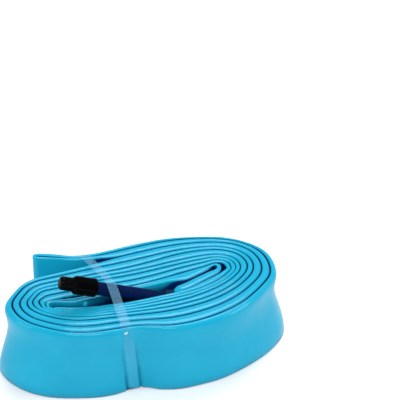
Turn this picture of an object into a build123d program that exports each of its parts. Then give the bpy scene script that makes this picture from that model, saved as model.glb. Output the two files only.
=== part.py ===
"""Bicycle inner tube of thermoplastic film, rolled up flat for sale with its valve lying on top.

The flattened tube is one closed loop. It is folded double and rolled up, so its plan is a thin
ring between two closed skins. Both skins run through the same gauge stations, one strand gap apart.
"""
from math import asin, atan2, cos, pi, radians, sin, sqrt, tan
from build123d import *
import os

os.makedirs("parts", exist_ok=True)

# ---- rolled tube, mm ----
flat_width = 33.0        # width of the flattened tube, which is the height of the roll
strand_gap = 0.4         # air left between neighbouring strands
waist_height = 18.0      # the roll is slimmest here
waist_share = 0.3        # part of each flare that the outermost face draws in at the waist
spare_share = 0.25       # part of each flare left on the outermost face for the trim to take off

# flares: how far the outermost face splays at the foot of the roll, going round clockwise
right_back_turn_flare = 2.0
right_flare = 3.8
right_front_turn_flare = 3.6
front_right_flare = 0.9
front_flare = 0.7
strap_front_flare = 0.9
left_front_flare = 1.7
left_front_turn_flare = 4.2
left_flare = 4.0
left_back_turn_flare = 2.0
flare_run_out = 0.5      # the flare dies out where the trim leaves the roll by this much

# gauge stations: the place of gap line 0, then the pitch of strands 0 to 7 outwards from it
right_y = 1.5
right_first = 41.0
right_pitch = [2.5, 2.1, 2.3, 3.4, 2.6, 3.6, 3.4, 3.4]
right_turn_centre = (38.0, 1.0)
right_back_turn_first = 3.4
right_back_turn_pitch = [2.3, 2.1, 2.3, 3.9, 2.3, 3.9, 2.5, 2.5]
right_front_turn_first = 3.5
right_front_turn_pitch = [2.2, 2.2, 1.8, 3.0, 2.8, 4.0, 4.2, 3.4]
front_right_x = 30.0
front_right_first = 6.2
front_right_pitch = [4.1, 2.2, 1.8, 3.8, 2.9, 5.1, 5.6, 4.4]
front_x = 10.0
front_first = 11.5
front_pitch = [1.8, 1.9, 2.6, 3.0, 2.9, 5.3, 5.9, 3.6]
strap_x = -16.7
strap_front_first = 10.3
strap_front_pitch = [1.8, 1.9, 1.9, 2.0, 2.3, 4.2, 4.2, 3.4]
left_front_x = -34.0
left_front_first = 8.2
left_front_pitch = [1.4, 1.4, 1.4, 1.5, 2.6, 4.9, 4.8, 3.4]
left_turn_centre = (-38.0, 2.0)
left_front_turn_first = 5.8
left_front_turn_pitch = [1.3, 1.3, 1.3, 1.4, 2.1, 4.1, 3.8, 3.5]
left_y = 2.0
left_first = 44.3        # from here round the back the strands are two fewer
left_pitch = [2.2, 2.9, 2.4, 3.3, 3.4, 4.0]
left_back_turn_first = 4.6
left_back_turn_pitch = [1.4, 3.9, 1.9, 3.4, 3.1, 3.2]
left_back_x = -40.0
left_back_first = 2.2
left_back_pitch = [4.2, 4.2, 2.1, 3.3, 3.2, 3.9]
strap_back_first = 1.2
strap_back_pitch = [4.5, 4.1, 2.6, 3.0, 4.6, 3.4]
back_x = 0.0
back_first = 0.6
back_pitch = [4.3, 4.1, 2.9, 3.5, 4.8, 4.9, 4.7, 2.8]
right_back_x = 30.0
right_back_first = 3.6
right_back_pitch = [3.4, 2.9, 2.9, 4.6, 3.0, 4.4, 3.9, 2.3]
tail_lines = [27.7, 29.9, 32.2]   # the three faces of the tail pair where the strap crosses it
tail_fold = (-39.0, 39.0)         # where the doubled tube is folded

# ---- valve, mm, measured along its axis from the tube end of the stem ----
stem_root = (5.35, -8.45, 30.0)
cap_tip = (-38.7, -4.4, 45.7)
stem_diameter = 6.0
stem_bore = 3.6
stem_below = 5.0         # stem moulded into the foot
stem_top = 31.0
core_thread = 4.5
core_thread_below = 7.0
core_tail_diameter = 3.2
core_tail_below = 13.0
core_head_diameter = 5.2
core_flats = 4.5
core_top = 38.0
pin_diameter = 1.9
pin_head_diameter = 2.8
pin_top = 43.5
fit_gap = 0.05           # running clearance on the radius
seal_thickness = 1.6
nut_height = 2.8
nut_diameter = 3.7
nut_knurls = 12
nut_knurl = 0.3          # side of the square the knurl grooves are cut with
cap_skirt_diameter = 8.3
cap_nose_diameter = 6.2
cap_nose_fillet = 1.5
cap_skirt_start = 29.8
cap_shoulder = 40.2
cap_wall = 0.9
cap_ribs = 24
cap_groove = 0.45        # side of the square the grooves between the ribs are cut with
seal_clearance = 0.3     # the rubber seat is left this far below the core
foot_thickness = 1.4
collar_diameter = 8.6    # collar of the foot that grips the stem
collar_floor = 1.5
collar_grip = 2.5
collar_lip = 0.6
foot_floor = 24.0        # height of the sunk strand the foot is bonded to
stem_clearance = 0.3

# ---- strap, mm ----
strap_width = 4.3
strap_thickness = 0.4
strap_clearance = 0.3
strap_under = 0.25       # the strap hangs this far above the resting plane
strap_tilt = 4.8         # degrees the strap leans out of square
strap_front_y = -31.6
strap_back_y = 31.8
strap_shoulder = 33.0
strap_corner = 1.5
lap_length = 8.5
weld_length = 2.4
weld_height = 1.5
weld_drop = 2.0          # from the upper end of the lap


def line(first, pitch, strand, side, inset):
    """distance of a strand's face from the gauge datum: side 1 is its outer face, 0 its inner"""
    edge = first + sum(pitch[: strand + side])
    return edge - (strand_gap / 2 + inset) * (1 if side else -1)


def polar(centre, radius, angle):
    return (centre[0] + radius * cos(radians(angle)), centre[1] + radius * sin(radians(angle)))


# Each station is (x, y, heading in degrees), walked clockwise from the outside of the roll inwards.
def back(k, side, inset, splay):
    heading = [2, 1, 0, 0, 2, 1, 3, 3, 5][k + side]
    return (back_x, line(back_first, back_pitch, k, side, inset), heading)


def right_back(k, side, inset, splay):
    heading = [4, 2, 0, -1, -3, -7, -9, -12, -17][k + side]
    return (right_back_x, line(right_back_first, right_back_pitch, k, side, inset), heading)


def right_back_turn(k, side, inset, splay):
    r = line(right_back_turn_first, right_back_turn_pitch, k, side, inset) + splay * right_back_turn_flare
    return polar(right_turn_centre, r, 45) + (-46,)


def right(k, side, inset, splay):
    return (line(right_first, right_pitch, k, side, inset) + splay * right_flare, right_y, -90)


def right_front_turn(k, side, inset, splay):
    r = line(right_front_turn_first, right_front_turn_pitch, k, side, inset) + splay * right_front_turn_flare
    return polar(right_turn_centre, r, -45) + ([-148, -137, -136][min(k + side, 2)],)


def front_right(k, side, inset, splay):
    y = -line(front_right_first, front_right_pitch, k, side, inset) - splay * front_right_flare
    return (front_right_x, y, [-159, -159, -162][min(k + side, 2)])


def front(k, side, inset, splay):
    return (front_x, -line(front_first, front_pitch, k, side, inset) - splay * front_flare, -180)


def strap_front(k, side, inset, splay):
    heading = [-189, -189, -189, -189, -189, -189, -188, -184, -180][k + side]
    y = -line(strap_front_first, strap_front_pitch, k, side, inset) - splay * strap_front_flare
    return (strap_x, y, heading)


def left_front(k, side, inset, splay):
    heading = [-201, -201, -201, -201, -201, -200, -197, -196, -196][k + side]
    y = -line(left_front_first, left_front_pitch, k, side, inset) - splay * left_front_flare
    return (left_front_x, y, heading)


def left_front_turn(k, side, inset, splay):
    r = line(left_front_turn_first, left_front_turn_pitch, k, side, inset) + splay * left_front_turn_flare
    return polar(left_turn_centre, r, -135) + (-228,)


def left(k, side, inset, splay):
    x = -line(left_first, left_pitch, k, side, inset) - splay * left_flare
    return (x, left_y - (2.4 if k + side == 0 else 0), -270)


def left_back_turn(k, side, inset, splay):
    r = line(left_back_turn_first, left_back_turn_pitch, k, side, inset) + splay * left_back_turn_flare
    return polar(left_turn_centre, r, 135) + (-335 if k + side == 1 else -315,)


def left_back(k, side, inset, splay):
    heading = [0, 0, -1, 0, 0, 2, 1][k + side]
    return (left_back_x, line(left_back_first, left_back_pitch, k, side, inset), heading)


def strap_back(k, side, inset, splay):
    heading = [-2, -2, -2, -1, -1, 1, 3][k + side]
    return (strap_x, line(strap_back_first, strap_back_pitch, k, side, inset), heading)


def turns(outer, side, inset):
    """stations of one face of the outer (1) or inner (0) strand of the pair through all four turns"""
    stations = []
    for turn in (3, 2, 1, 0):
        k = 2 * turn + outer
        splay = 1 + spare_share if k + side == 8 else 0
        for station in (back, right_back, right_back_turn, right, right_front_turn):
            stations.append(station(k, side, inset, splay))
        for station in (front_right, front, strap_front, left_front):
            stations.append(station(k, side, inset, splay))
        if k + side > 1:
            stations.append(left_front_turn(k, side, inset, splay))
        if turn:
            stations.append(left(k - 2, side, inset, splay))
            if k + side > 2:
                stations.append(left_back_turn(k - 2, side, inset, splay))
            for station in (left_back, strap_back):
                stations.append(station(k - 2, side, inset, splay))
    return stations


def outermost(splay):
    """path of the outermost face round both ends and the front of the roll at one level"""
    x0, y0, heading0 = right_back(7, 1, 0, 0)
    x1, y1, heading1 = left_back(5, 1, 0, 0)
    stations = [(x0, y0 + flare_run_out, heading0)]
    for station in (right_back_turn, right, right_front_turn, front_right, front, strap_front):
        stations.append(station(7, 1, 0, splay))
    for station in (left_front, left_front_turn):
        stations.append(station(7, 1, 0, splay))
    for station in (left, left_back_turn):
        stations.append(station(5, 1, 0, splay))
    return stations + [(x1, y1 + flare_run_out, heading1)]


def flip(stations):
    return [(x, y, heading + 180) for x, y, heading in reversed(stations)]


def skin_outside(inset=0.0):
    """outline of the tube: tail fold, four turns inwards, inner hairpin, and four turns back out"""
    g = strand_gap / 2 + inset
    fx, fy = tail_fold
    s = [(fx + inset, fy - inset / 2, 66), (fx + 4.4, fy + 1.1 - inset, -22), (strap_x, tail_lines[2] - g, -8)]
    s += turns(1, 1, inset)
    s += [(-44.3 + g, -0.4, 90), (-39.5, 2.2 - g, 0), (strap_x, 1.2 - g, -2), (back_x, 0.6 - g, 2), (right_back_x, 3.6 - g, 4)]
    s += [(39.4 - g, 1.6, -98), (36.5, -3.3 + g, -150), (front_right_x, -6.2 + g, -159)]
    s += [(6, -11.4 + g, -182), (strap_x, -10.3 + g, -189), (left_front_x, -8.2 + g, -201), (-38.3, -6.3 + g, -206)]
    s += [(-38.9 + g, -6.1, -116), (-38.5, -6.45 - g, -26)] + flip(turns(0, 0, inset))
    s += [(strap_x, tail_lines[0] + g, 172), (fx + 3.6, fy - 3.8 + g, 158)]
    return s + s[:1]


def skin_inside(inset=0.0):
    """outline of the slit that runs down the middle of the folded pair"""
    g = strand_gap / 2 + inset
    fx, fy = tail_fold
    s = [(fx + 1.4 - inset, fy - 0.2, 66), (fx + 2.6, fy - 0.3 + inset, -26), (strap_x, tail_lines[1] + g, -8)]
    s += turns(1, 0, inset)
    s += [(-42.9 - g, -1.0, 90), (-39.5, 0.5 + g, 0), (strap_x, -2.4 + g, -2), (10, -2.3 + g, 4)]
    s += [(24, -2.9 + g, 22), (32, 0.2 + g, 25), (35.6, 2.7 + inset, 28), (37.5 + inset, 1.9, -98)]
    s += [(35.0, -0.3 - inset, -166), (32, -0.7 - g, -158), (24, -3.4 - g, -159), (16, -5.9 - g, -168)]
    s += [(7, -8.4 - g, -176), (strap_x, -8.3 - g, -188), (left_front_x, -6.8 - g, -198)]
    s += [(-38.5, -4.6 - g, -208), (-41.3, -3.1 - g, -175), (-42.1 + g, -4.3, -80), (-41.0, -5.6 + g, -37)]
    s += flip(turns(0, 1, inset))
    s += [(strap_x, tail_lines[1] - g, 172), (fx + 2.8, fy - 1.3 - inset, 152)]
    return s + s[:1]


def arc_middle(p, q, heading):
    """point half way along the arc from p to q that leaves p at the heading"""
    cx, cy = q[0] - p[0], q[1] - p[1]
    half = atan2(cos(heading) * cy - sin(heading) * cx, cos(heading) * cx + sin(heading) * cy)
    k = tan(half / 2) / 2
    return ((p[0] + q[0]) / 2 + cy * k, (p[1] + q[1]) / 2 - cx * k)


def biarc(p, q):
    """two arcs, tangent to each other, from station p to station q"""
    a0, a1 = radians(p[2]), radians(q[2])
    t0, t1 = (cos(a0), sin(a0)), (cos(a1), sin(a1))
    vx, vy = q[0] - p[0], q[1] - p[1]
    b = vx * (t0[0] + t1[0]) + vy * (t0[1] + t1[1])
    c = 2 * (1 - t0[0] * t1[0] - t0[1] * t1[1])
    vv = vx * vx + vy * vy
    d = vv / (2 * b) if c < 1e-9 else (sqrt(b * b + c * vv) - b) / c
    joint = ((p[0] + q[0] + d * (t0[0] - t1[0])) / 2, (p[1] + q[1] + d * (t0[1] - t1[1])) / 2)
    return [(p[:2], arc_middle(p[:2], joint, a0), joint), (joint, arc_middle(q[:2], joint, a1 + pi), q[:2])]


def arcs(stations):
    return [arc for p, q in zip(stations, stations[1:]) for arc in biarc(p, q)]


def skin_edges(stations):
    return [ThreePointArc(start, middle, end, mode=Mode.PRIVATE) for start, middle, end in arcs(stations)]


def unit_vector(v):
    length = sqrt(sum(c * c for c in v))
    return tuple(c / length for c in v)


# The valve is turned about its own axis: in its section plane x is the radius, y the place along it.
along = unit_vector([t - r for t, r in zip(cap_tip, stem_root)])
across = unit_vector((along[2], 0.0, -along[0]))
square = unit_vector((
    across[1] * along[2] - across[2] * along[1],
    across[2] * along[0] - across[0] * along[2],
    across[0] * along[1] - across[1] * along[0],
))
valve_axis = Axis(stem_root, along)
valve_section = Plane(origin=stem_root, x_dir=across, z_dir=square)


def valve_station(distance):
    """plane square to the valve at a distance along it"""
    origin = tuple(r + a * distance for r, a in zip(stem_root, along))
    return Plane(origin=origin, x_dir=across, z_dir=along)


stem_radius = stem_diameter / 2

# The strap lies in a plane that leans about Y: in it x is the row's Y, and y climbs the roll.
lean = radians(strap_tilt)
strap_plane = Plane(
    origin=(strap_x + strap_shoulder * tan(lean), 0, 0), x_dir=(0, 1, 0), z_dir=(cos(lean), 0, sin(lean))
)
strap_bottom = strap_under + strap_thickness
strap_radii = [strap_corner, strap_corner, strap_corner, stem_radius + strap_clearance, strap_corner]


def tangent_slope(y, height, cy, ch, radius):
    """slope angle of the line from a shoulder that passes just over the circle round the stem"""
    distance = sqrt((cy - y) ** 2 + (ch - height) ** 2)
    return atan2(ch - height, abs(cy - y)) + asin(radius / distance)


def strap_corners(station):
    """corners of the strap's inner loop at a place across its width, drawn tight over the stem"""
    plane = strap_plane.offset(station)
    normal, origin = plane.z_dir, plane.origin
    root, direction = Vector(*stem_root), Vector(*along)
    crossing = root + direction * ((origin - root).dot(normal) / direction.dot(normal))
    cy, ch = (crossing - origin).dot(plane.x_dir), (crossing - origin).dot(plane.y_dir)
    radius = stem_radius / abs(direction.dot(normal)) + strap_clearance
    front_slope = tan(tangent_slope(strap_front_y, strap_shoulder, cy, ch, radius))
    back_slope = tan(tangent_slope(strap_back_y, strap_shoulder, cy, ch, radius))
    span = strap_back_y - strap_front_y
    peak = strap_front_y + span * back_slope / (front_slope + back_slope)
    return [
        (strap_front_y, strap_bottom),
        (strap_back_y, strap_bottom),
        (strap_back_y, strap_shoulder),
        (peak, strap_shoulder + (peak - strap_front_y) * front_slope),
        (strap_front_y, strap_shoulder),
    ]


# ---- the tube: the ring between both skins, with its outermost face trimmed to the splay ----
sunk_front = [(17.6, -10.37), (16.0, -10.73), (14.0, -11.08), (10.0, -11.42), (-1.0, -11.34)]
sunk_left = [(-4.0, -11.3), (-10.0, -11.07), (-16.7, -10.3), (-24.0, -9.7), (-30.0, -8.9)]

# what the splay leaves outside the outermost face: a trim from below the foot to above the crown
trim_levels = [(-1.0, 1.0), (waist_height, -waist_share), (flat_width + 1.0, 0.0)]
with BuildPart() as trim:
    for height, splay in trim_levels:
        path = outermost(splay)
        with BuildSketch(Plane.XY.offset(height)):
            with BuildLine():
                add(skin_edges(path))
                Polyline(path[-1][:2], (-46, 44), (-90, 60), (-90, -60), (90, -60), (90, 60), path[0][:2])
            make_face()
    loft(ruled=True)

with BuildPart() as tube:
    with BuildSketch():
        with BuildLine():
            add(skin_edges(skin_outside()))
        make_face()
        with BuildLine():
            add(skin_edges(skin_inside()))
        make_face(mode=Mode.SUBTRACT)
    extrude(amount=flat_width)
    add(trim.part, mode=Mode.SUBTRACT)
    # the inner strand is pressed down under the valve
    with BuildSketch(Plane.XY.offset(foot_floor)):
        with BuildLine():
            Polyline(*sunk_front, (-1.0, -5.0), (17.6, -4.3), close=True)
        make_face()
    extrude(amount=flat_width, mode=Mode.SUBTRACT)
    with BuildSketch(Plane.XY.offset(flat_width - 3.0)):
        with BuildLine():
            Polyline((-1.0, -11.34), *sunk_left, (-30.0, -6.0), (-1.0, -5.0), close=True)
        make_face()
    extrude(amount=flat_width, mode=Mode.SUBTRACT)
    # bed of the stem
    with BuildSketch(valve_station(-stem_below - stem_clearance)):
        Circle(stem_radius + stem_clearance)
    extrude(amount=stem_top, mode=Mode.SUBTRACT)
    # notch the strap draws into the roll
    with BuildSketch(strap_plane):
        Rectangle(120, 120)
        with BuildLine():
            FilletPolyline(
                (strap_front_y, strap_bottom),
                (strap_back_y, strap_bottom),
                (strap_back_y, strap_shoulder),
                (strap_front_y, strap_shoulder),
                radius=strap_corner,
                close=True,
            )
        make_face(mode=Mode.SUBTRACT)
    extrude(amount=strap_width / 2 + strap_clearance, both=True, mode=Mode.SUBTRACT)

# ---- valve foot: pad bonded to the sunk strand, with a collar moulded round the stem ----
with BuildPart() as valve_foot:
    with BuildSketch(valve_section):
        with BuildLine():
            Polyline(
                (0, -stem_below - collar_floor),
                (collar_diameter / 2, -stem_below - collar_floor),
                (stem_radius + collar_lip, -stem_below + collar_grip),
                (0, -stem_below + collar_grip),
                close=True,
            )
        make_face()
    revolve(axis=valve_axis)
    with BuildSketch(Plane.XY.offset(foot_floor)):
        with BuildLine():
            Polyline(*sunk_front[:4], (0.6, -11.34), (0.6, -5.4), (16.0, -5.4), (17.6, -6.4), close=True)
        make_face()
    extrude(amount=foot_thickness)
    with BuildSketch(Plane.XY.offset(foot_floor)):
        with BuildLine():
            Polyline(*sunk_front[:4], (-1.0, -11.34), (-1.0, -4.2), (17.6, -4.2), close=True)
        make_face()
    extrude(amount=flat_width, mode=Mode.INTERSECT)
    with BuildSketch(valve_station(-stem_below)):
        Circle(stem_radius)
    extrude(amount=stem_top, mode=Mode.SUBTRACT)

# ---- stem ----
with BuildPart() as valve_stem:
    with BuildSketch(valve_section):
        with BuildLine():
            Polyline(
                (stem_bore / 2, -stem_below),
                (stem_radius, -stem_below),
                (stem_radius, stem_top - 0.4),
                (stem_radius - 0.4, stem_top),
                (core_thread / 2 + fit_gap, stem_top),
                (core_thread / 2 + fit_gap, stem_top - core_thread_below),
                (stem_bore / 2, stem_top - core_thread_below),
                close=True,
            )
        make_face()
    revolve(axis=valve_axis)

# ---- core: threaded body with two flats, its seal, the pin with its rubber seat, and the lock nut ----
pin_bore = pin_diameter / 2 + fit_gap
core_foot = stem_top - core_tail_below
with BuildPart() as core_body:
    with BuildSketch(valve_section):
        with BuildLine():
            Polyline(
                (pin_bore, core_foot),
                (core_tail_diameter / 2 - 0.15, core_foot),
                (core_tail_diameter / 2 - 0.15, stem_top - core_thread_below),
                (core_thread / 2, stem_top - core_thread_below + 0.3),
                (core_thread / 2, stem_top),
                (core_head_diameter / 2, stem_top),
                (core_head_diameter / 2, core_top - 0.4),
                (core_head_diameter / 2 - 0.4, core_top),
                (pin_bore, core_top),
                close=True,
            )
        make_face()
    revolve(axis=valve_axis)
    with BuildSketch(valve_station(stem_top + 2.0)):
        with Locations((core_flats / 2 + 2, 0), (-core_flats / 2 - 2, 0)):
            Rectangle(4, 8)
    extrude(amount=core_top, mode=Mode.SUBTRACT)

with BuildPart() as core_seal:
    with BuildSketch(valve_section):
        with Locations((core_tail_diameter / 4 - 0.075 + stem_bore / 4, stem_top - core_thread_below - 0.6)):
            Rectangle(stem_bore / 2 - core_tail_diameter / 2 + 0.15, 1.2)
    revolve(axis=valve_axis)

seat_top = core_foot - seal_clearance
with BuildPart() as core_pin:
    with BuildSketch(valve_section):
        with BuildLine():
            Polyline(
                (0, seat_top - seal_thickness - 1.0),
                (pin_head_diameter / 2, seat_top - seal_thickness - 1.0),
                (pin_head_diameter / 2, seat_top - seal_thickness),
                (0.6, seat_top - seal_thickness),
                (0.6, stem_top - 3.0),
                (pin_diameter / 2, stem_top - 2.6),
                (pin_diameter / 2, pin_top - 0.3),
                (pin_diameter / 2 - 0.3, pin_top),
                (0, pin_top),
                close=True,
            )
        make_face()
    revolve(axis=valve_axis)

with BuildPart() as pin_seal:
    with BuildSketch(valve_section):
        with BuildLine():
            Polyline(
                (0.6, seat_top - seal_thickness),
                (pin_head_diameter / 2, seat_top - seal_thickness),
                (pin_head_diameter / 2, seat_top),
                (0.6, seat_top),
                close=True,
            )
        make_face()
    revolve(axis=valve_axis)

nut_start = core_top + fit_gap
with BuildPart() as lock_nut:
    with BuildSketch(valve_section):
        with BuildLine():
            Polyline(
                (pin_bore, nut_start),
                (nut_diameter / 2 - 0.3, nut_start),
                (nut_diameter / 2, nut_start + 0.3),
                (nut_diameter / 2, nut_start + nut_height - 0.3),
                (nut_diameter / 2 - 0.3, nut_start + nut_height),
                (pin_bore, nut_start + nut_height),
                close=True,
            )
        make_face()
    revolve(axis=valve_axis)
    with BuildSketch(valve_station(nut_start)):
        with PolarLocations(nut_diameter / 2, nut_knurls):
            Rectangle(nut_knurl, nut_knurl, rotation=45)
    extrude(amount=nut_height, mode=Mode.SUBTRACT)

# ---- dust cap: fluted skirt, smooth nose with a rounded end, hollow to clear the core ----
with BuildPart() as dust_cap:
    nose_radius = cap_nose_diameter / 2
    skirt_radius = cap_skirt_diameter / 2
    nose_bore = nose_radius - cap_wall
    nose_corner = cap_nose_fillet * (1 - sqrt(0.5))
    cap_end = sqrt(sum((t - r) ** 2 for t, r in zip(cap_tip, stem_root)))
    with BuildSketch(valve_section):
        with BuildLine():
            Polyline(
                (nose_radius, cap_end - cap_nose_fillet),
                (nose_radius, cap_shoulder + 0.8),
                (skirt_radius - 0.5, cap_shoulder),
                (skirt_radius, cap_shoulder - 0.5),
                (skirt_radius, cap_skirt_start + 0.5),
                (skirt_radius - 0.5, cap_skirt_start),
                (stem_radius + 0.15, cap_skirt_start),
                (stem_radius + 0.15, stem_top + 0.2),
                (core_head_diameter / 2 + fit_gap, stem_top + 0.2),
                (core_head_diameter / 2 + fit_gap, core_top + 0.4),
                (nose_bore, core_top + 0.8),
                (nose_bore, cap_end - 1.4),
                (0, cap_end - 1.4),
                (0, cap_end),
                (nose_radius - cap_nose_fillet, cap_end),
            )
            ThreePointArc(
                (nose_radius - cap_nose_fillet, cap_end),
                (nose_radius - nose_corner, cap_end - nose_corner),
                (nose_radius, cap_end - cap_nose_fillet),
            )
        make_face()
    revolve(axis=valve_axis)
    with BuildSketch(valve_station(cap_skirt_start + 0.5)):
        with PolarLocations(skirt_radius, cap_ribs):
            Rectangle(cap_groove, cap_groove, rotation=45)
    extrude(amount=cap_shoulder - cap_skirt_start - 1.0, mode=Mode.SUBTRACT)

# ---- strap: film band drawn round the roll and over the rising stem, lapped and welded in front ----
band_edges = (-strap_width / 2, strap_width / 2)
with BuildPart() as strap:
    for station in band_edges:
        with BuildSketch(strap_plane.offset(station)):
            with BuildLine():
                FilletPolyline(*strap_corners(station), radius=strap_radii, close=True)
            make_face()
            offset(amount=strap_thickness)
    loft(ruled=True)
    for station in band_edges:
        with BuildSketch(strap_plane.offset(station)):
            with BuildLine():
                FilletPolyline(*strap_corners(station), radius=strap_radii, close=True)
            make_face()
    loft(ruled=True, mode=Mode.SUBTRACT)
    lap_top = strap_shoulder - strap_corner
    lap_face = strap_front_y - 2 * strap_thickness
    with BuildSketch(strap_plane):
        with Locations((strap_front_y - 1.5 * strap_thickness, lap_top - lap_length / 2)):
            Rectangle(strap_thickness, lap_length)
    extrude(amount=strap_width / 2, both=True)
    with BuildSketch(Plane(strap_plane.from_local_coords(Vector(lap_face, lap_top - weld_drop, 0)),
                           x_dir=strap_plane.z_dir, z_dir=(0, -1, 0))):
        SlotOverall(weld_length, weld_height)
    extrude(amount=-strap_thickness / 2, mode=Mode.SUBTRACT)

for name, piece in (
    ("tube", tube),
    ("valve_foot", valve_foot),
    ("valve_stem", valve_stem),
    ("core_body", core_body),
    ("core_seal", core_seal),
    ("core_pin", core_pin),
    ("pin_seal", pin_seal),
    ("lock_nut", lock_nut),
    ("dust_cap", dust_cap),
    ("strap", strap),
):
    piece.part.label = name
    export_step(piece.part, f"parts/{name}.step")
    print(name, len(piece.part.solids()), piece.part.is_valid, round(piece.part.volume, 1), piece.part.bounding_box())
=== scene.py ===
# %% [markdown]
# # A rolled bicycle inner tube
# The solids of the part are already packed. This script loads them, keeps the ones whose shape is
# right, models the soft pieces again with rounded folds, and gives every surface a finish.

import bpy
import bmesh
from math import asin, atan2, ceil, cos, exp, hypot, log, pi, radians, sin, sqrt, tan
from mathutils import Matrix, Vector
from mathutils.bvhtree import BVHTree


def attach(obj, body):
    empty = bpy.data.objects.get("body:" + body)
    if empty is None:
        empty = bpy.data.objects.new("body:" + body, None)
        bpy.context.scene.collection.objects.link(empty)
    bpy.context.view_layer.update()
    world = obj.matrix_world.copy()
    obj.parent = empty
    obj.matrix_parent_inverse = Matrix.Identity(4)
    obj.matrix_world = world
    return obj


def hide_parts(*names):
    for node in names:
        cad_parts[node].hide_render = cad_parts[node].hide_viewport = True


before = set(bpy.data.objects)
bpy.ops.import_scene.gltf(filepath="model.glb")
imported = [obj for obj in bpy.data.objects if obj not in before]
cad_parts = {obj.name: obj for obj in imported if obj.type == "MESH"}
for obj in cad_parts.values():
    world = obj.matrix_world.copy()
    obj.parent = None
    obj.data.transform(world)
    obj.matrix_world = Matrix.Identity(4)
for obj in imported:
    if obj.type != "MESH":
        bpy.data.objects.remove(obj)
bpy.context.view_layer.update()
MM = 0.001

# %% [markdown]
# ## Camera, floor and light
# The camera is a long lens, so parallel edges stay almost parallel. It looks down at the roll from
# the front left. A Track To constraint could aim it, but here its three axes come from an azimuth
# and an elevation, so the view can be changed by two angles. The floor and the world are pale, and
# four large soft lamps give long highlights on the film.

# %% Camera
AIM, DISTANCE = Vector((49.65, 57.48, 33.0)) * MM, 0.958
AZIMUTH, ELEVATION, ROLL = radians(-20.0), radians(31.9), radians(-0.3)
SENSOR_WIDTH, FOCAL_PIXELS, IMAGE_PIXELS = 36.0, 2000, 400

back = Vector((sin(AZIMUTH) * cos(ELEVATION), -cos(AZIMUTH) * cos(ELEVATION), sin(ELEVATION)))
right_hand = Vector((0, 0, 1)).cross(back).normalized()
upward = back.cross(right_hand)
axes = Matrix((right_hand, upward, back)).transposed().to_4x4()
camera = bpy.data.objects.new("camera", bpy.data.cameras.new("camera"))
bpy.context.scene.collection.objects.link(camera)
camera.data.sensor_width = SENSOR_WIDTH
camera.data.lens = FOCAL_PIXELS / IMAGE_PIXELS * SENSOR_WIDTH
camera.data.clip_end = 20.0
standpoint = Matrix.Translation(AIM + back * DISTANCE)
camera.matrix_world = standpoint @ axes @ Matrix.Rotation(ROLL, 4, "Z")
bpy.context.scene.camera = camera
print("camera lens", camera.data.lens, "mm")


# %% Floor
def placed_object(name, bm):
    """a mesh object made from a bmesh, which is freed"""
    piece = bpy.data.objects.new(name, bpy.data.meshes.new(name))
    bm.to_mesh(piece.data)
    bm.free()
    bpy.context.scene.collection.objects.link(piece)
    return piece


def node_material(name):
    """a material with its node tree and its main shader"""
    material = bpy.data.materials.new(name)
    material.use_nodes = True
    return material, material.node_tree, material.node_tree.nodes["Principled BSDF"]


FLOOR_REACH, FLOOR_PAINT, FLOOR_ROUGH = 3.0, (0.92, 0.92, 0.92, 1), 0.9

bm = bmesh.new()
bmesh.ops.create_grid(bm, x_segments=1, y_segments=1, size=FLOOR_REACH)
floor = placed_object("floor", bm)
pale, _, pale_shader = node_material("pale_floor")
pale_shader.inputs["Base Color"].default_value = FLOOR_PAINT
pale_shader.inputs["Roughness"].default_value = FLOOR_ROUGH
floor.data.materials.append(pale)
print("floor", 2 * FLOOR_REACH, "m across")

# %% Lamps
# place, width, height and power of each
LAMPS = {
    "key": ((-0.28, -0.55, 0.78), 0.55, 0.2, 5.0),
    "fill": ((0.75, -0.35, 0.45), 0.4, 0.4, 3.1),
    "side": ((-0.8, 0.05, 0.3), 0.4, 0.4, 1.8),
    "top": ((0.25, 0.45, 0.9), 0.5, 0.5, 6.6),
}
LAMP_AIM = Vector((0.0, 0.0, 0.02))
WORLD_WHITE, WORLD_STRENGTH = (1, 1, 1, 1), 0.42

for name, (place, width, height, power) in LAMPS.items():
    lamp = bpy.data.lights.new(name, "AREA")
    lamp.shape, lamp.size, lamp.size_y, lamp.energy = "RECTANGLE", width, height, power
    holder = bpy.data.objects.new(name, lamp)
    bpy.context.scene.collection.objects.link(holder)
    holder.location = place
    holder.rotation_euler = (LAMP_AIM - Vector(place)).to_track_quat("-Z", "Y").to_euler()
world = bpy.data.worlds.new("studio")
world.use_nodes = True
sky = world.node_tree.nodes["Background"]
sky.inputs["Color"].default_value = WORLD_WHITE
sky.inputs["Strength"].default_value = WORLD_STRENGTH
bpy.context.scene.world = world
bpy.context.scene.view_settings.view_transform = "Standard"
print("lamps", list(LAMPS))

# %% [markdown]
# ## How the tube is rolled
# A flattened tube is a band 33 mm wide. It is one closed loop, folded double, and the doubled band
# is rolled up on edge. Seen from above, each strand runs between two gap lines. A plain spiral
# would be quicker to draw, but a hand-rolled tube has strands of uneven width and a loose middle.
# So the lists below hold how far out each gap line passes at a few gauge stations round the roll,
# in millimetres, and which way it heads there, in degrees.

# %% Gauge stations of the roll
FLAT_WIDTH = 33.0
GAP = 0.4
STRAP_X = -16.7
TURN_RIGHT, TURN_LEFT = (38.0, 1.0), (-38.0, 2.0)
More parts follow.
